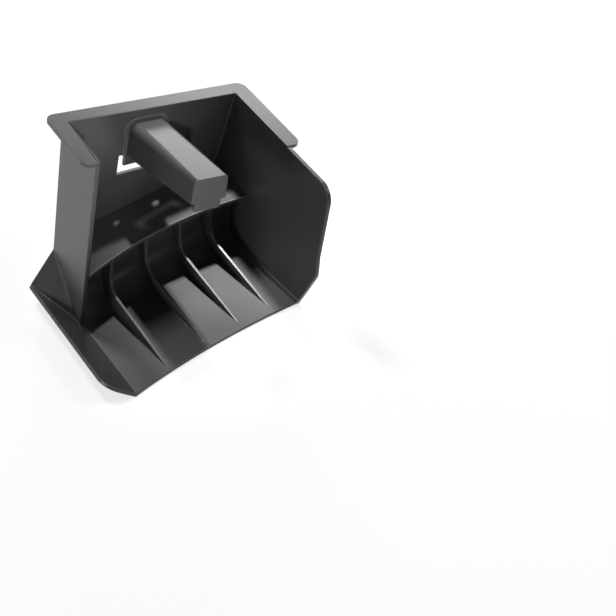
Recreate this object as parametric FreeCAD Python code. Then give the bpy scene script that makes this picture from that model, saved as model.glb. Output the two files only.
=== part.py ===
import FreeCAD, Part
import math
import os

from FreeCAD import Placement, Rotation, Vector

# Mower mulching plug: one moulded scoop that closes a mower's rear discharge chute.
# It stands on its floor plate. A flat collar round the mouth sits on the chute's rim,
# at a slant to the floor plate, and a hollow handle reaches forward from the back wall.
# All sizes are in millimetres and all angles in degrees.

# General wall sizes
wall = 3.0
rib_thickness = 2.2

# Place and slant of the collar: its inner back-left corner, measured from the
# front-left corner of the floor plate
collar_left = 43.2
collar_back = 124.0
collar_height = 141.2
collar_yaw = -7.6
collar_roll = 11.6

# Collar, in its own plane
mouth_width = 133.0
collar_border = 12.2
collar_thickness = 3.0
collar_corner_radius = 7.0
collar_end_radius = 7.0
collar_inner_radius = 2.0
left_arm = 51.0
right_arm = 72.0

# Side walls, measured from the collar
left_wall_depth = 50.0
right_wall_reach = 128.0
right_wall_draft = 1.5
right_rim_radius = 12.0
right_toe_depth = 76.0
right_toe_radius = 14.0
crease_front_depth = 58.0
rim_below_collar = 1.0

# Floor plate
plate_width = 141.0
plate_thickness = 3.0
plate_hollow = 4.2
fold_flare = 0.04
fold_cove = 2.5

# Shelf and riser
shelf_height = 46.0
shelf_back = 124.5
shelf_front_middle = 85.5
shelf_front_right = 75.0
riser_foot = 72.0
riser_cove = 21.0

# Ribs: where each meets the shelf's front edge (x), and its foot on the plate (x, y)
rib_yaw = 2.3
ribs = ((40.2, 30.9, 6.7), (72.0, 65.4, 9.5), (101.9, 95.7, 10.8), (126.5, 123.1, 11.0))
rib_knee_height = 18.0
rib_knee_radius = 13.0

# Flap that flares up at the left of the floor plate, and the fairing behind it
flap_front = 9.8
flap_front_width = 18.6
flap_rear_width = 18.2
flap_rear_height = 13.9
flap_corner_radius = 16.0
fairing_height = 38.0

# Handle: an inverted channel, measured in the collar's frame
handle_middle = 62.3
handle_length = 90.0
handle_wall = 2.6
handle_root_top = 9.3
handle_root_height = 27.3
handle_root_width = 30.0
handle_root_round = 7.0
handle_front_top = -0.6
handle_front_height = 19.5
handle_front_width = 26.7
handle_front_round = 3.0
handle_lean = 0.5
tab_width = 20.0
tab_drop = 7.2

# Raised pad round the handle's root
pad_border = 3.0
pad_height = 1.2

# Slot round the tongue under the handle's root
slot_width = 37.0
slot_below_handle = 1.4
slot_drop = 16.5
slot_side_gap = 4.5
slot_floor_gap = 6.5

# Size of the tools that trim walls, larger than the plug, and how far a flat face may be off
reach = 400.0
flat_enough = 1e-6


def corner_arc(before, corner, after, radius):
    """Start, middle and end of the arc that rounds one corner of an outline."""
    to_before = (before - corner).normalize()
    to_after = (after - corner).normalize()
    half = to_before.getAngle(to_after) / 2
    start = corner + to_before * (radius / math.tan(half))
    end = corner + to_after * (radius / math.tan(half))
    bisector = (to_before + to_after).normalize()
    middle = corner + bisector * (radius / math.sin(half) - radius)
    return start, middle, end


def outline(corners):
    """Closed wire through (point, radius) corners, with an arc where the radius isn't 0."""
    edges = []
    stops = []
    for number, (corner, radius) in enumerate(corners):
        before = corners[number - 1][0]
        after = corners[(number + 1) % len(corners)][0]
        if radius > 0:
            stops.append(corner_arc(before, corner, after, radius))
        else:
            stops.append((corner, None, corner))
    for number, (start, middle, end) in enumerate(stops):
        if middle is not None:
            edges.append(Part.Arc(start, middle, end).toShape())
        following = stops[(number + 1) % len(stops)][0]
        edges.append(Part.makeLine(end, following))
    return Part.Wire(edges)


def prism(wire, direction):
    """Solid made by moving a flat closed wire along a direction."""
    return Part.Face(wire).extrude(direction)


def slab(points, thickness):
    """Flat panel under a polygon of (point, radius) corners given counterclockwise from above."""
    first, second, third = (corner for corner, radius in corners_of(points)[:3])
    down = (second - first).cross(third - first).normalize() * -thickness
    return prism(outline(corners_of(points)), down)


def corners_of(points):
    """Pairs of point and radius, with sharp corners where no radius is given."""
    return [point if isinstance(point, tuple) else (point, 0.0) for point in points]


def side_face(low_start, low_end, high_end, high_start):
    """Face between two edges: flat if its corners are, and otherwise twisted."""
    normal = (low_end - low_start).cross(high_start - low_start).normalize()
    if abs(normal.dot(high_end - low_start)) < flat_enough:
        corners = [low_start, low_end, high_end, high_start, low_start]
        return Part.Face(Part.makePolygon(corners))
    return Part.makeRuledSurface(Part.makeLine(low_start, low_end), Part.makeLine(high_start, high_end))


def ruled(first, second):
    """Solid between two flat polygons with the same number of corners."""
    faces = [Part.Face(Part.makePolygon(points + points[:1])) for points in (first, second)]
    for number in range(len(first)):
        following = (number + 1) % len(first)
        faces.append(side_face(first[number], first[following], second[following], second[number]))
    solid = Part.Solid(Part.Shell(faces))
    if solid.Volume < 0:
        solid.reverse()
    return solid


# The collar's frame: x to the right and y to the back along the mouth, w up out of it
turn = Rotation(Vector(0, 0, 1), collar_yaw) * Rotation(Vector(0, 1, 0), collar_roll)
collar_place = Placement(Vector(collar_left, collar_back, collar_height), turn)


def on_collar(x, y, w):
    """Point given in the collar's frame."""
    return collar_place.multVec(Vector(x, y, w))


def side_point(x, y, height):
    """Point at a given y and height on the left or right wall, x from the left inner face."""
    draft = math.tan(math.radians(right_wall_draft)) if x > 0 else 0.0
    start = on_collar(x, 0, 0)
    along = turn.multVec(Vector(0, 1, 0))
    down = turn.multVec(Vector(draft, 0, -1))
    normal = along.cross(down)
    rest = normal.y * (y - start.y) + normal.z * (height - start.z)
    return Vector(start.x - rest / normal.x, y, height)


def arc_y(left, middle, right, x):
    """y at x on the circle through three points."""
    circle = Part.Circle(left, middle, right)
    rise = math.sqrt(circle.Radius ** 2 - (x - circle.Center.x) ** 2)
    side = 1 if middle.y > circle.Center.y else -1
    return circle.Center.y + side * rise


def left_edge(x, height):
    """Point at a given height on the left wall's front edge."""
    start = on_collar(x, -left_wall_depth, 0)
    down = turn.multVec(Vector(0, 0, -1))
    return start + down * ((height - start.z) / down.z)


def crease(y):
    """Point on the right wall's crease, which runs from the shelf's corner to the front rim."""
    corner = side_point(mouth_width, shelf_front_right, shelf_height)
    draft = math.tan(math.radians(right_wall_draft))
    front = on_collar(mouth_width + draft * crease_front_depth, -right_wall_reach, -crease_front_depth)
    return corner + (front - corner) * ((y - corner.y) / (front.y - corner.y))


# Corners shared by the floor plate, the shelf and the walls
inside_left = -wall / 2
inside_right = mouth_width + wall / 2
shelf_left = left_edge(inside_left, shelf_height)
shelf_right = side_point(inside_right, shelf_front_right, shelf_height)
shelf_middle = Vector((shelf_left.x + shelf_right.x) / 2, shelf_front_middle, shelf_height)
wall_foot = left_edge(0, plate_thickness)
riser_face = riser_foot + riser_cove


def make_collar():
    """Flat U round the mouth, with rounded outer corners and arm ends."""
    left = -collar_border
    right = mouth_width + collar_border
    corners = [
        (Vector(left, collar_border, 0), collar_corner_radius),
        (Vector(left, -left_arm, 0), collar_end_radius),
        (Vector(0, -left_arm, 0), collar_inner_radius),
        (Vector(0, 0, 0), 0.0),
        (Vector(mouth_width, 0, 0), 0.0),
        (Vector(mouth_width, -right_arm, 0), collar_inner_radius),
        (Vector(right, -right_arm, 0), collar_end_radius),
        (Vector(right, collar_border, 0), collar_corner_radius),
    ]
    collar = prism(outline(corners), Vector(0, 0, -collar_thickness))
    collar.Placement = collar_place
    return collar


def tub(grow, lower_back):
    """Block between the walls, grown to either face of them, from the collar to the ground."""
    left = -grow
    right = mouth_width + grow
    ledge = shelf_height - wall
    ends = (shelf_back + grow, -reach)
    collar_level = [
        on_collar(left, grow, 0),
        on_collar(right, grow, 0),
        on_collar(right, -reach, 0),
        on_collar(left, -reach, 0),
    ]

    def level(height, back):
        return [
            side_point(left, back, height),
            side_point(right, back, height),
            side_point(right, ends[1], height),
            side_point(left, ends[1], height),
        ]

    upper = ruled(level(ledge, ends[0]), collar_level)
    lower = ruled(level(-wall, lower_back), level(ledge, lower_back))
    return upper.fuse(lower)


def behind_walls():
    """Block behind the back wall's outer face."""
    left = -wall
    right = mouth_width + wall
    ledge = shelf_height - wall
    upper = [
        on_collar(left, wall, 0),
        on_collar(right, wall, 0),
        on_collar(right, reach, 0),
        on_collar(left, reach, 0),
    ]
    lower = [
        side_point(left, shelf_back + wall, ledge),
        side_point(right, shelf_back + wall, ledge),
        side_point(right, reach, ledge),
        side_point(left, reach, ledge),
    ]
    return ruled(lower, upper)


def make_walls():
    """Left, back and right wall in one, open in front and, below the shelf, at the back."""
    walls = tub(wall, shelf_back + wall).cut(tub(0.0, shelf_back + reach))
    return walls.common(left_profile().fuse(right_profile())).cut(below_crease())


def left_profile():
    """Everything behind the left wall's front edge, left of the mouth's middle."""
    low = Vector(-reach, -left_wall_depth, -reach)
    tool = Part.makeBox(reach + mouth_width / 2, reach, reach * 2, low)
    tool.Placement = collar_place
    return tool


def right_profile():
    """Everything inside the right wall's free rim, right of the mouth's middle."""
    plate_corner = collar_place.inverse().multVec(Vector(plate_width, 0, 0))
    middle = mouth_width / 2
    rim = [
        (Vector(middle, reach, reach), 0.0),
        (Vector(middle, -right_arm, reach), 0.0),
        (Vector(middle, -right_arm, -rim_below_collar), 0.0),
        (Vector(middle, -right_wall_reach, -rim_below_collar), right_rim_radius),
        (Vector(middle, -right_wall_reach, -right_toe_depth), right_toe_radius),
        (Vector(middle, plate_corner.y, plate_corner.z), 0.0),
        (Vector(middle, plate_corner.y, -reach), 0.0),
        (Vector(middle, reach, -reach), 0.0),
    ]
    tool = prism(outline(rim), Vector(reach, 0, 0))
    tool.Placement = collar_place
    return tool


def below_crease():
    """Everything under the right wall's crease."""
    rear = crease(shelf_back + reach)
    front = crease(-reach)
    drop = Vector(0, 0, -reach)
    across = turn.multVec(Vector(wall * 4, 0, 0))
    upper = [rear - across, front - across, front + across, rear + across]
    lower = [corner + drop for corner in upper]
    return ruled(lower, upper)


def fold_foot(y):
    """Point on the ground where the right wall is folded over into the floor plate."""
    return Vector(plate_width + fold_flare * y, y, 0)


def fold_band(near, far):
    """Band along the right wall below its crease, between two distances from its inner face."""
    out = turn.multVec(Vector(1, 0, 0))
    ends = []
    for y in (shelf_back + wall, -right_wall_reach / 2):
        top = crease(y)
        foot = fold_foot(y)
        ends.append([top + out * near, top + out * far, foot + out * far, foot + out * near])
    return ruled(*ends)


def make_folded_side():
    """Right wall below its crease, leaning in to the floor plate, with a cove in the fold."""
    coves = []
    for y in (riser_face, -right_wall_reach / 2):
        foot = fold_foot(y)
        up = (crease(y) - foot).normalize()
        fold = foot + up * (plate_thickness / up.z)
        coves.append([fold - Vector(fold_cove, 0, 0), foot, fold + up * fold_cove])
    cove = ruled(*coves).cut(behind_riser(plate_thickness / 2))
    return fold_band(0.0, wall).fuse(cove).common(right_profile())


def make_slot():
    """Slot of U form under the handle's root, which leaves a tongue in its middle."""
    top = handle_root_top + handle_root_height + slot_below_handle
    left = handle_middle - slot_width / 2
    right = handle_middle + slot_width / 2
    corners = [
        Vector(left, 0, -top),
        Vector(left, 0, -top - slot_drop),
        Vector(right, 0, -top - slot_drop),
        Vector(right, 0, -top),
        Vector(right - slot_side_gap, 0, -top),
        Vector(right - slot_side_gap, 0, -top - slot_drop + slot_floor_gap),
        Vector(left + slot_side_gap, 0, -top - slot_drop + slot_floor_gap),
        Vector(left + slot_side_gap, 0, -top),
    ]
    tool = prism(outline(corners_of(corners)), Vector(0, wall * 8, 0))
    tool.translate(Vector(0, -wall * 2, 0))
    tool.Placement = collar_place * tool.Placement
    return tool


def make_floor_plate():
    """Ground plate with a hollow front edge, as far back as the riser's foot."""
    front = Part.Arc(
        Vector(0, 0, 0),
        Vector(plate_width / 2, plate_hollow, 0),
        Vector(plate_width, 0, 0),
    )
    right = fold_foot(riser_foot)
    left = Vector(wall_foot.x * riser_foot / wall_foot.y, riser_foot, 0)
    edges = [
        front.toShape(),
        Part.makeLine(Vector(plate_width, 0, 0), right),
        Part.makeLine(right, left),
        Part.makeLine(left, Vector(0, 0, 0)),
    ]
    return prism(Part.Wire(edges), Vector(0, 0, plate_thickness))


def make_shelf():
    """Level shelf from the back wall to its hollow front edge."""
    beside = Vector(wall * 4, 0, 0)
    far = Vector(0, shelf_back + wall - shelf_left.y, 0)
    left = shelf_left - beside
    right = shelf_right + beside
    edges = [
        Part.makeLine(left, shelf_left),
        Part.Arc(shelf_left, shelf_middle, shelf_right).toShape(),
        Part.makeLine(shelf_right, right),
        Part.makeLine(right, right + far),
        Part.makeLine(right + far, left + far),
        Part.makeLine(left + far, left),
    ]
    return prism(Part.Wire(edges), Vector(0, 0, -wall))


def behind_riser(inset):
    """Block under and behind the riser, set in from its front face."""
    front = riser_foot - wall
    level = plate_thickness - inset
    top = shelf_height - wall / 2
    section = [
        (Vector(-reach, front, level), 0.0),
        (Vector(-reach, riser_face + inset, level), riser_cove + inset),
        (Vector(-reach, riser_face + inset, top), 0.0),
        (Vector(-reach, reach, top), 0.0),
        (Vector(-reach, reach, -reach), 0.0),
        (Vector(-reach, front, -reach), 0.0),
    ]
    return prism(outline(section), Vector(reach * 2, 0, 0))


def make_riser():
    """Wall that turns up out of the floor plate in a wide cove and stands under the shelf."""
    return behind_riser(0.0).cut(behind_riser(plate_thickness))


def make_rib(top_x, foot_x, foot_y):
    """Gusset that leans over to the shelf's edge, and sweeps down from it to its foot on the plate."""
    front_edge = arc_y(shelf_left, shelf_middle, shelf_right, top_x)
    length = front_edge - foot_y
    ahead = Vector(-math.tan(math.radians(rib_yaw)), -1, 0)
    base = Vector(foot_x, foot_y, 0) - ahead * length
    up = Vector((top_x - base.x) / shelf_height, 0, 1)
    across = ahead.cross(up).normalize() * rib_thickness
    root = front_edge - riser_face - plate_thickness
    top = shelf_height - wall / 2
    side = [
        (root, top, 0.0),
        (0.0, top, 0.0),
        (0.0, rib_knee_height, rib_knee_radius),
        (length, plate_thickness, 0.0),
        (length, plate_thickness / 2, 0.0),
        (root, plate_thickness / 2, 0.0),
    ]
    start = base - across / 2
    placed = [(start + ahead * along + up * height, radius) for along, height, radius in side]
    return prism(outline(placed), across).cut(behind_riser(plate_thickness / 2))


def make_flap():
    """Flap that flares up beside the floor plate, and the fairing from it to the left wall."""
    fold_front = Vector(0, 0, plate_thickness)
    fold_rear = wall_foot
    wall_rear = side_point(-wall, shelf_back + wall, flap_rear_height)
    rim_rear = wall_rear - Vector(flap_rear_width, 0, 0)
    normal = (fold_rear - fold_front).cross(rim_rear - fold_front)
    rim_x = flap_front * fold_rear.x / fold_rear.y - flap_front_width
    rise = normal.x * rim_x + normal.y * flap_front
    rim_front = Vector(rim_x, flap_front, plate_thickness - rise / normal.z)
    inward = (fold_front - rim_front).normalize() * (wall / 2)
    panel = [
        fold_front + inward,
        fold_rear + inward,
        rim_rear,
        (rim_front, flap_corner_radius),
    ]
    top = side_point(-wall / 2, shelf_back + wall, fairing_height)
    return slab(panel, wall).fuse(slab([fold_rear, top, rim_rear], wall))


def channel_section(y, grow, low):
    """Section of the handle across the collar, grown all round, with its foot at a given level."""
    part = -y / handle_length

    def between(root, front):
        return root + (front - root) * part

    top = -between(handle_root_top, handle_front_top)
    height = between(handle_root_height, handle_front_height)
    shoulder = between(handle_root_width, handle_front_width) / 2 - handle_lean
    radius = between(handle_root_round, handle_front_round)
    foot = top - height if low is None else low
    spread = shoulder + handle_lean * (top - foot) / height + grow
    shoulder = shoulder + grow
    corners = [
        (Vector(handle_middle - spread, y, foot), 0.0),
        (Vector(handle_middle + spread, y, foot), 0.0),
        (Vector(handle_middle + shoulder, y, top + grow), radius + grow),
        (Vector(handle_middle - shoulder, y, top + grow), radius + grow),
    ]
    return outline(corners)


def channel(start, end, grow, low=None):
    """Solid of the handle's section between two stations along it."""
    sections = [channel_section(start, grow, low), channel_section(end, grow, low)]
    return Part.makeLoft(sections, True, True)


def make_handle():
    """Hollow handle, open below, with a tab under its front end and a pad round its root."""
    behind = wall * 3
    end = -handle_length
    deep = -handle_root_top - handle_root_height * 2
    tab = Part.makeBox(tab_width, handle_wall, handle_front_height / 2 + tab_drop)
    foot = -handle_front_top - handle_front_height - tab_drop
    tab.translate(Vector(handle_middle - tab_width / 2, end, foot))
    outer = channel(behind, end, 0.0).fuse(channel(behind, -pad_height, pad_border))
    handle = outer.cut(channel(behind * 2, end + handle_wall, -handle_wall, deep)).fuse(tab)
    handle.Placement = collar_place
    return handle.cut(behind_walls())


def make_plug():
    """The whole moulding, with what reaches behind the walls and below the ground trimmed off."""
    inside = tub(wall / 2, shelf_back + wall / 2)
    walls = make_walls().cut(make_slot())
    inner = make_shelf().fuse(make_riser()).common(inside).cut(fold_band(wall / 2, reach / 4))
    pieces = [make_collar(), make_handle(), inner, make_folded_side()]
    pieces += [make_floor_plate(), make_flap()]
    pieces += [make_rib(*rib) for rib in ribs]
    body = walls.multiFuse(pieces)
    ground = Part.makeBox(reach * 2, reach * 2, reach, Vector(-reach, -reach, -reach))
    return body.cut(ground).removeSplitter()


plug = make_plug()
box = plug.optimalBoundingBox(False, False)
plug.translate(Vector(-box.Center.x, -box.Center.y, -box.ZMin))

os.makedirs("parts", exist_ok=True)
plug.exportStep("parts/mulching_plug.step")
print("solids", len(plug.Solids), "valid", plug.isValid(), "volume", round(plug.Volume))
print("size", round(box.XLength, 1), round(box.YLength, 1), round(box.ZLength, 1))
print("origin", round(box.Center.x, 2), round(box.Center.y, 2))
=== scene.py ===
"""Looks of the mower mulching plug: its moulded edges, its plastic and its studio."""
import itertools
import math

import bmesh
import bpy
from bpy.props import FloatProperty, FloatVectorProperty, IntProperty, PointerProperty
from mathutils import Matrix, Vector
from mathutils.bvhtree import BVHTree


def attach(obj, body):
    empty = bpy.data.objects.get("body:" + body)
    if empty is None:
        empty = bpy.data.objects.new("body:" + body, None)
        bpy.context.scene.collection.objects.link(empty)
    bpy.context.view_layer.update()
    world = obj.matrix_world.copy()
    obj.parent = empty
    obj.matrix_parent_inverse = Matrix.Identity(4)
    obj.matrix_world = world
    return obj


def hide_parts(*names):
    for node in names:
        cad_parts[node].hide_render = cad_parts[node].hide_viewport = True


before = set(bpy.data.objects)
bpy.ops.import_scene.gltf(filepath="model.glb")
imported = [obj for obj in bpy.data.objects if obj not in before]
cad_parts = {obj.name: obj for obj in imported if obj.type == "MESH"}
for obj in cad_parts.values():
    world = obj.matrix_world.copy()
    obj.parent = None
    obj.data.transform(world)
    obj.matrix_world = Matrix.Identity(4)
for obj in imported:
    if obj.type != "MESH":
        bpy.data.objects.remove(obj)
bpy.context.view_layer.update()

bl_info = {
    "name": "Mower mulching plug",
    "version": (1, 0, 0),
    "blender": (4, 5, 0),
    "location": "3D View > Sidebar > Mulching plug",
    "description": "Moulded edges, charcoal plastic and a plain studio for the mulching plug",
    "category": "Object",
}

NODE = "mulching_plug"
# EDGE names the mask of the paler edge tone, which is partly rubbed wear and partly a painted
# highlight.
EDGE = "edge"
MILLIMETRE = 0.001
WHITE = (1.0, 1.0, 1.0, 1.0)

# Moulding
JOIN_DISTANCE = 0.002 * MILLIMETRE
FLAT_ANGLE = math.radians(0.6)
ROUND_ROOM = 0.4  # share of a neighbouring edge that a round may take
ROUND_REACH = 0.6  # farthest that a rounded point lies from the solid, in rounds
STEEP = 0.7  # least rise of a wall corner, in its own lengths

# Plastic
PLASTIC_IOR = 1.5
GRAIN_DETAIL = 2.0
POLISH_SCALE = 28.0  # patches of polish in a metre
POLISH_DETAIL = 3.0
POLISH_RANGE = (0.3, 0.7)
# Least share of the paler edge tone, which is partly rubbed wear and partly a painted highlight.
LEAST_EDGE_PALING = 0.6

# Studio
FLOOR_HALF = 4.0
FLOOR_DROP = 0.05 * MILLIMETRE
FLOOR_TONE = (0.42, 0.42, 0.42, 1.0)
PLUG_MIDDLE = Vector((0.0, 0.0, 0.07))
SOFTBOX_DISTANCE = 1.6
SPOT_DISTANCE = 1.5
SPOT_RADIUS = 0.07
SENSOR_WIDTH = 36.0
CLIP_RANGE = (0.01, 50.0)


class MouldingSettings(bpy.types.PropertyGroup):
    """Sizes and tones of the moulded plastic."""

    edge_round: FloatProperty(
        name="Edge round",
        description="Width of the small round along the moulding's edges",
        default=0.7 * MILLIMETRE,
        unit="LENGTH",
    )
    edge_steps: IntProperty(
        name="Edge steps",
        description="Faces across each rounded edge",
        default=3,
    )
    sharp_angle: FloatProperty(
        name="Sharp angle",
        description="Edges that turn by more than this are rounded",
        default=math.radians(22.0),
        subtype="ANGLE",
    )
    thin_edge: FloatProperty(
        name="Thin edge",
        description="Faces between sharp edges nearer than this count as edges, as on ribs",
        default=2.7 * MILLIMETRE,
        unit="LENGTH",
    )
    # Painted highlight: corners between walls above the shelf get the paler edge tone.
    shelf_height: FloatProperty(
        name="Shelf height",
        description="Height of the shelf, above which the corners between walls are paler",
        default=46.0 * MILLIMETRE,
        unit="LENGTH",
    )
    # Painted highlight: the paler tone along edges stands partly for rubbed wear and partly for
    # highlights on the rounded edges and rib edges.
    edge_wear_and_highlight_tone: FloatVectorProperty(
        name="Edge tone",
        description="Tone of the plastic along edges, where it is rubbed paler",
        default=(0.15, 0.15, 0.15),
        subtype="COLOR",
    )
    dark_tone: FloatVectorProperty(
        name="Dark tone",
        description="Darker tone of the charcoal plastic",
        default=(0.052, 0.052, 0.053),
        subtype="COLOR",
    )
    pale_tone: FloatVectorProperty(
        name="Pale tone",
        description="Paler tone of the charcoal plastic",
        default=(0.058, 0.058, 0.059),
        subtype="COLOR",
    )
    rough_low: FloatProperty(
        name="Smoothest",
        description="Roughness where the tool was polished most",
        default=0.30,
    )
    rough_high: FloatProperty(
        name="Roughest",
        description="Roughness where the tool was polished least",
        default=0.34,
    )
    rough_edge: FloatProperty(
        name="Edge roughness",
        description="Roughness where the edges are rubbed most",
        default=1.0,
    )
    grain_size: FloatProperty(
        name="Grain size",
        description="Size of the fine grain of the plastic",
        default=0.5 * MILLIMETRE,
        unit="LENGTH",
    )
    grain_depth: FloatProperty(
        name="Grain depth",
        description="Depth of the fine grain of the plastic",
        default=0.012 * MILLIMETRE,
        unit="LENGTH",
    )


class StageSettings(bpy.types.PropertyGroup):
    """Camera, floor and lamps of the studio."""

    camera_place: FloatVectorProperty(
        name="Camera place",
        description="Where the camera stands",
        default=(-0.42400, -0.65807, 0.76543),
        subtype="TRANSLATION",
    )
    camera_turn: FloatProperty(
        name="Camera turn",
        description="Angle between the view and the back, to the right",
        default=math.radians(39.413),
        subtype="ANGLE",
    )
    camera_pitch: FloatProperty(
        name="Camera pitch",
        description="How far the camera looks down",
        default=math.radians(45.0),
        subtype="ANGLE",
    )
    lens: FloatProperty(
        name="Lens",
        description="Focal length of the camera in millimetres",
        default=86.9,
    )
    back_radiance: FloatProperty(
        name="Back softbox",
        description="Brightness of the low softbox behind the plug",
        default=4.6,
    )
    top_radiance: FloatProperty(
        name="Top softbox",
        description="Brightness of the softbox above the plug",
        default=75.0,
    )
    right_radiance: FloatProperty(
        name="Right softbox",
        description="Brightness of the softbox at the plug's right",
        default=10.0,
    )
    left_radiance: FloatProperty(
        name="Left softbox",
        description="Brightness of the softbox at the plug's left",
        default=7.0,
    )
    back_power: FloatProperty(
        name="Back spot",
        description="Power of the spot lamp above the back, on the floor plate",
        default=260.0,
    )
    front_power: FloatProperty(
        name="Front spot",
        description="Power of the spot lamp in front, on the back wall",
        default=130.0,
    )
    world_light: FloatProperty(
        name="Room",
        description="Brightness of the room round the plug",
        default=0.08,
    )
    floor_glow: FloatProperty(
        name="Floor glow",
        description="What the camera sees of the floor beyond its lit colour",
        default=0.74,
    )


def new_group(name, outputs):
    """Empty shader node group with named number outputs, and its output node."""
    group = bpy.data.node_groups.new(name, "ShaderNodeTree")
    for label in outputs:
        group.interface.new_socket(label, in_out="OUTPUT", socket_type="NodeSocketFloat")
    return group, group.nodes.new("NodeGroupOutput")


def noise(nodes, links, coordinates, scale, detail):
    """Noise texture at a scale, on the given coordinates."""
    texture = nodes.new("ShaderNodeTexNoise")
    texture.inputs["Scale"].default_value = scale
    texture.inputs["Detail"].default_value = detail
    links.new(coordinates, texture.inputs["Vector"])
    return texture


def moulded_grain(settings):
    """Grain of a moulded surface: its height, its polish and how pale its edges are, as rubbed
    wear and a painted highlight.
    """
    group, end = new_group("moulded_grain", ("Height", "Polish", "Rub and highlight"))
    nodes, links = group.nodes, group.links
    place = nodes.new("ShaderNodeTexCoord").outputs["Object"]
    fine = noise(nodes, links, place, 1.0 / settings.grain_size, GRAIN_DETAIL)
    broad = noise(nodes, links, place, POLISH_SCALE, POLISH_DETAIL)
    spread = nodes.new("ShaderNodeMapRange")
    spread.inputs["From Min"].default_value = POLISH_RANGE[0]
    spread.inputs["From Max"].default_value = POLISH_RANGE[1]
    edge = nodes.new("ShaderNodeAttribute")
    edge.attribute_name = EDGE
    # Mask of the paler edge tone, varied in patches: rubbed wear together with a painted
    # highlight.
    rub_and_highlight = nodes.new("ShaderNodeMath")
    rub_and_highlight.operation = "MULTIPLY"
    patchy_paling = nodes.new("ShaderNodeMapRange")
    patchy_paling.inputs["To Min"].default_value = LEAST_EDGE_PALING
    links.new(broad.outputs["Fac"], spread.inputs["Value"])
    links.new(broad.outputs["Fac"], patchy_paling.inputs["Value"])
    links.new(edge.outputs["Fac"], rub_and_highlight.inputs[0])
    links.new(patchy_paling.outputs["Result"], rub_and_highlight.inputs[1])
    links.new(fine.outputs["Fac"], end.inputs["Height"])
    links.new(spread.outputs["Result"], end.inputs["Polish"])
    links.new(rub_and_highlight.outputs["Value"], end.inputs["Rub and highlight"])
    return group


def mixed_tone(nodes, links, amount, first, second):
    """Colour between two tones, by an amount."""
    mix = nodes.new("ShaderNodeMix")
    mix.data_type = "RGBA"
    for socket, tone in ((mix.inputs["A"], first), (mix.inputs["B"], second)):
        if isinstance(tone, bpy.types.NodeSocket):
            links.new(tone, socket)
        else:
            socket.default_value = (*tone, 1.0)
    links.new(amount, mix.inputs["Factor"])
    return mix.outputs["Result"]


def charcoal_plastic(settings):
    """Satin charcoal plastic, with fine grain, a slowly varying polish and paler, dull edges;
    the paler edges are partly rubbed wear and partly a painted highlight.
    """
    material = bpy.data.materials.new("charcoal_plastic")
    material.use_nodes = True
    nodes, links = material.node_tree.nodes, material.node_tree.links
    shader = nodes["Principled BSDF"]
    shader.inputs["IOR"].default_value = PLASTIC_IOR
    grain = nodes.new("ShaderNodeGroup")
    grain.node_tree = moulded_grain(settings)
    polish, rub_and_highlight = grain.outputs["Polish"], grain.outputs["Rub and highlight"]
    body = mixed_tone(nodes, links, polish, settings.dark_tone, settings.pale_tone)
    # Painted highlight: edges are mixed towards the paler tone, partly as rubbed wear and partly
    # as a highlight painted into the colour.
    tone = mixed_tone(nodes, links, rub_and_highlight, body, settings.edge_wear_and_highlight_tone)
    links.new(tone, shader.inputs["Base Color"])
    rough = nodes.new("ShaderNodeMapRange")
    rough.inputs["To Min"].default_value = settings.rough_low
    rough.inputs["To Max"].default_value = settings.rough_high
    links.new(polish, rough.inputs["Value"])
    rubbed = nodes.new("ShaderNodeMapRange")
    rubbed.inputs["To Max"].default_value = settings.rough_edge
    links.new(rub_and_highlight, rubbed.inputs["Value"])
    links.new(rough.outputs["Result"], rubbed.inputs["To Min"])
    links.new(rubbed.outputs["Result"], shader.inputs["Roughness"])
    bump = nodes.new("ShaderNodeBump")
    bump.inputs["Distance"].default_value = settings.grain_depth
    links.new(grain.outputs["Height"], bump.inputs["Height"])
    links.new(bump.outputs["Normal"], shader.inputs["Normal"])
    return material


def merged_mesh(node):
    """Copy of a node's mesh with its corners joined and its flat faces whole."""
    mesh = node.data.copy()
    mesh.name = "moulding"
    work = bmesh.new()
    work.from_mesh(mesh)
    bmesh.ops.remove_doubles(work, verts=work.verts, dist=JOIN_DISTANCE)
    bmesh.ops.dissolve_limit(
        work,
        angle_limit=FLAT_ANGLE,
        verts=work.verts,
        edges=work.edges,
        use_dissolve_boundaries=False,
    )
    work.to_mesh(mesh)
    work.free()
    return mesh


def is_sharp(edge, angle):
    """Whether two faces meet at an edge at more than an angle."""
    return len(edge.link_faces) == 2 and edge.calc_face_angle(0.0) > angle


def is_thin(face, limit, sharp_angle):
    """Whether a face is a strip between two outer edges that are near each other."""
    outer = [edge for edge in face.edges if edge.is_convex and is_sharp(edge, sharp_angle)]
    pairs = itertools.combinations(outer, 2)
    apart = any(not set(first.verts) & set(second.verts) for first, second in pairs)
    return apart and 2.0 * face.calc_area() < limit * sum(edge.calc_length() for edge in outer)


def mark_edges(mesh, settings):
    """Mark thin faces, and weigh each sharp edge by the round that it has room for."""
    work = bmesh.new()
    work.from_mesh(mesh)
    layer = work.edges.layers.float.new("bevel_weight_edge")
    for face in work.faces:
        face.material_index = int(is_thin(face, settings.thin_edge, settings.sharp_angle))
    for edge in work.edges:
        if not is_sharp(edge, settings.sharp_angle):
            continue
        room = settings.edge_round
        for loop in edge.link_loops:
            for beside in (loop.link_loop_next.edge, loop.link_loop_prev.edge):
                room = min(room, beside.calc_length() * ROUND_ROOM)
        edge[layer] = room / settings.edge_round
    work.to_mesh(mesh)
    work.free()


def keep_on_solid(mesh, solid, reach):
    """Bring points that a round has pushed off the solid, or into the ground, back to it."""
    points = [point.co for point in solid.vertices]
    tree = BVHTree.FromPolygons(points, [face.vertices for face in solid.polygons])
    for point in mesh.vertices:
        place, _, _, distance = tree.find_nearest(point.co)
        if distance > reach or point.co.z < 0.0:
            point.co = place


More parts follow.
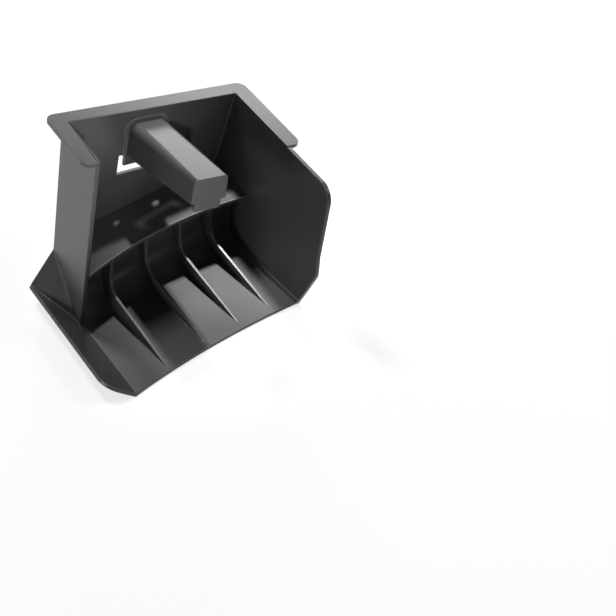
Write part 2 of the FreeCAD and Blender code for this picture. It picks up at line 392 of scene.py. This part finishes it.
def stands_out(face):
    """Whether a face turns outwards from its neighbours, as a rounded outer edge does."""
    turns = [edge.calc_face_angle_signed(0.0) for edge in face.edges]
    return sum(turns) > 0.0


# Faces found here are painted paler as a highlight in the corner.
def is_wall_corner(face, shelf):
    """Whether a face runs up between two walls, above the shelf."""
    longest = max(face.edges, key=lambda edge: edge.calc_length())
    rise = abs(longest.verts[1].co.z - longest.verts[0].co.z)
    lowest = min(point.co.z for point in face.verts)
    return rise > STEEP * longest.calc_length() and lowest > shelf


def edge_mask(mesh, settings):
    """Mask on the points: 1 in outer rounds, thin faces and wall corners, 0 on broad faces; it
    carries the paler edge tone, rubbed wear with a painted highlight on the rounds and a painted
    highlight in the wall corners.
    """
    work = bmesh.new()
    work.from_mesh(mesh)
    layer = work.verts.layers.float.new(EDGE)
    shelf = settings.shelf_height
    # Wall corners above the shelf are painted paler as a painted highlight, not as wear.
    pale = {face: stands_out(face) or is_wall_corner(face, shelf) for face in work.faces}
    for point in work.verts:
        narrow = all(face.material_index for face in point.link_faces)
        point[layer] = float(narrow and any(pale[face] for face in point.link_faces))
    for face in work.faces:
        face.material_index = 0
    work.to_mesh(mesh)
    work.free()


class OBJECT_OT_plug_moulding(bpy.types.Operator):
    """Round the moulding's edges and give it its plastic"""

    bl_idname = "object.plug_moulding"
    bl_label = "Plug moulding"

    def execute(self, context):
        settings = context.scene.plug_moulding
        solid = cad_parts[NODE]
        mesh = merged_mesh(solid)
        mark_edges(mesh, settings)
        piece = bpy.data.objects.new("plug_moulding", mesh)
        context.scene.collection.objects.link(piece)
        plastic = charcoal_plastic(settings)
        mesh.materials.clear()
        mesh.materials.append(plastic)
        # A second slot tells thin faces and rounds from broad faces until the mask is made.
        mesh.materials.append(plastic)
        mesh.shade_smooth()
        rounding = piece.modifiers.new("edge_round", "BEVEL")
        rounding.limit_method = "WEIGHT"
        rounding.width = settings.edge_round
        rounding.segments = settings.edge_steps
        rounding.use_clamp_overlap = False
        rounding.material = 1
        shaped = piece.evaluated_get(context.evaluated_depsgraph_get())
        piece.data = bpy.data.meshes.new_from_object(shaped)
        piece.modifiers.remove(rounding)
        keep_on_solid(piece.data, solid.data, ROUND_REACH * settings.edge_round)
        edge_mask(piece.data, settings)
        piece.data.materials.pop()
        normals = piece.modifiers.new("even_normals", "WEIGHTED_NORMAL")
        normals.keep_sharp = True
        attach(piece, "root")
        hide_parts(NODE)
        return {"FINISHED"}


def white_world(scene, light):
    """World that lights the plug evenly and looks white to the camera."""
    world = bpy.data.worlds.new("studio")
    scene.world = world
    world.use_nodes = True
    nodes, links = world.node_tree.nodes, world.node_tree.links
    room = nodes["Background"]
    room.inputs["Color"].default_value = WHITE
    room.inputs["Strength"].default_value = light
    white = nodes.new("ShaderNodeBackground")
    white.inputs["Color"].default_value = WHITE
    path = nodes.new("ShaderNodeLightPath")
    mix = nodes.new("ShaderNodeMixShader")
    links.new(path.outputs["Is Camera Ray"], mix.inputs["Fac"])
    links.new(room.outputs["Background"], mix.inputs[1])
    links.new(white.outputs["Background"], mix.inputs[2])
    links.new(mix.outputs["Shader"], nodes["World Output"].inputs["Surface"])


def pale_floor(scene, glow):
    """Wide pale floor under the plug, which keeps the plug's shadow."""
    mesh = bpy.data.meshes.new("floor")
    signs = ((-1, -1), (1, -1), (1, 1), (-1, 1))
    corners = [(x * FLOOR_HALF, y * FLOOR_HALF, 0.0) for x, y in signs]
    mesh.from_pydata(corners, [], [(0, 1, 2, 3)])
    floor = bpy.data.objects.new("floor", mesh)
    floor.location.z = -FLOOR_DROP
    scene.collection.objects.link(floor)
    material = bpy.data.materials.new("pale_floor")
    material.use_nodes = True
    nodes, links = material.node_tree.nodes, material.node_tree.links
    nodes.remove(nodes["Principled BSDF"])
    paper = nodes.new("ShaderNodeBsdfDiffuse")
    paper.inputs["Color"].default_value = FLOOR_TONE
    lift = nodes.new("ShaderNodeEmission")
    path = nodes.new("ShaderNodeLightPath")
    seen = nodes.new("ShaderNodeMath")
    seen.operation = "MAXIMUM"
    amount = nodes.new("ShaderNodeMath")
    amount.operation = "MULTIPLY"
    amount.inputs[1].default_value = glow
    links.new(path.outputs["Is Camera Ray"], seen.inputs[0])
    links.new(path.outputs["Is Glossy Ray"], seen.inputs[1])
    links.new(seen.outputs["Value"], amount.inputs[0])
    links.new(amount.outputs["Value"], lift.inputs["Strength"])
    both = nodes.new("ShaderNodeAddShader")
    links.new(paper.outputs["BSDF"], both.inputs[0])
    links.new(lift.outputs["Emission"], both.inputs[1])
    links.new(both.outputs["Shader"], nodes["Material Output"].inputs["Surface"])
    mesh.materials.append(material)


def lamp_holder(scene, lamp, aim, turn, rise, distance):
    """Object that holds a lamp at a turn from the back and a rise, turned towards a point."""
    turn, rise = math.radians(turn), math.radians(rise)
    level = math.cos(rise)
    away = Vector((math.sin(turn) * level, math.cos(turn) * level, math.sin(rise)))
    holder = bpy.data.objects.new(lamp.name, lamp)
    holder.location = aim + away * distance
    holder.rotation_mode = "QUATERNION"
    holder.rotation_quaternion = away.to_track_quat("Z", "Y")
    scene.collection.objects.link(holder)


def softbox(scene, name, turn, rise, width, height, radiance):
    """Rectangular lamp of a given brightness, turned towards the plug."""
    lamp = bpy.data.lights.new(name, "AREA")
    lamp.shape = "RECTANGLE"
    lamp.size = width
    lamp.size_y = height
    lamp.energy = radiance * math.pi * width * height
    lamp_holder(scene, lamp, PLUG_MIDDLE, turn, rise, SOFTBOX_DISTANCE)


def spot(scene, name, turn, rise, aim, beam, power):
    """Round lamp with a narrow beam that fades towards its rim."""
    lamp = bpy.data.lights.new(name, "SPOT")
    lamp.energy = power
    lamp.shadow_soft_size = SPOT_RADIUS
    lamp.spot_size = math.radians(beam)
    lamp.spot_blend = 1.0
    lamp_holder(scene, lamp, Vector(aim), turn, rise, SPOT_DISTANCE)


def photo_camera(scene, settings):
    """Camera at the photograph's angle."""
    data = bpy.data.cameras.new("camera")
    data.lens = settings.lens
    data.sensor_width = SENSOR_WIDTH
    data.clip_start, data.clip_end = CLIP_RANGE
    camera = bpy.data.objects.new("camera", data)
    camera.location = settings.camera_place
    tilt = math.pi / 2 - settings.camera_pitch
    camera.rotation_euler = (tilt, 0.0, -settings.camera_turn)
    scene.collection.objects.link(camera)
    scene.camera = camera


class SCENE_OT_plug_stage(bpy.types.Operator):
    """Set up the pale floor, the lamps and the camera"""

    bl_idname = "scene.plug_stage"
    bl_label = "Plug stage"

    def execute(self, context):
        scene = context.scene
        settings = scene.plug_stage
        scene.view_settings.view_transform = "Standard"
        white_world(scene, settings.world_light)
        pale_floor(scene, settings.floor_glow)
        for name, turn, rise, width, height, radiance in (
            ("back_softbox", 44.0, 17.0, 0.9, 0.5, settings.back_radiance),
            ("top_softbox", 4.0, 58.0, 0.2, 0.2, settings.top_radiance),
            ("right_softbox", 115.0, 30.0, 0.6, 0.4, settings.right_radiance),
            ("left_softbox", 272.0, 8.0, 0.9, 0.4, settings.left_radiance),
        ):
            softbox(scene, name, turn, rise, width, height, radiance)
        for name, turn, rise, aim, beam, power in (
            ("back_spot", 50.0, 66.0, (0.034, 0.01, 0.0), 7.5, settings.back_power),
            ("front_spot", 200.0, 18.0, (-0.015, 0.05, 0.12), 5.4, settings.front_power),
        ):
            spot(scene, name, turn, rise, aim, beam, power)
        photo_camera(scene, settings)
        return {"FINISHED"}


class VIEW3D_PT_mulching_plug(bpy.types.Panel):
    """Settings and steps of the mulching plug"""

    bl_label = "Mulching plug"
    bl_space_type = "VIEW_3D"
    bl_region_type = "UI"
    bl_category = "Mulching plug"

    def draw(self, context):
        scene = context.scene
        for settings, operator in (
            (scene.plug_moulding, OBJECT_OT_plug_moulding),
            (scene.plug_stage, SCENE_OT_plug_stage),
        ):
            column = self.layout.column()
            for name in type(settings).__annotations__:
                column.prop(settings, name)
            column.operator(operator.bl_idname)


CLASSES = (
    MouldingSettings,
    StageSettings,
    OBJECT_OT_plug_moulding,
    SCENE_OT_plug_stage,
    VIEW3D_PT_mulching_plug,
)


def register():
    for cls in CLASSES:
        bpy.utils.register_class(cls)
    bpy.types.Scene.plug_moulding = PointerProperty(type=MouldingSettings)
    bpy.types.Scene.plug_stage = PointerProperty(type=StageSettings)


def unregister():
    del bpy.types.Scene.plug_stage
    del bpy.types.Scene.plug_moulding
    for cls in reversed(CLASSES):
        bpy.utils.unregister_class(cls)


def main():
    register()
    bpy.ops.scene.plug_stage()
    bpy.ops.object.plug_moulding()


if __name__ == "__main__":
    main()
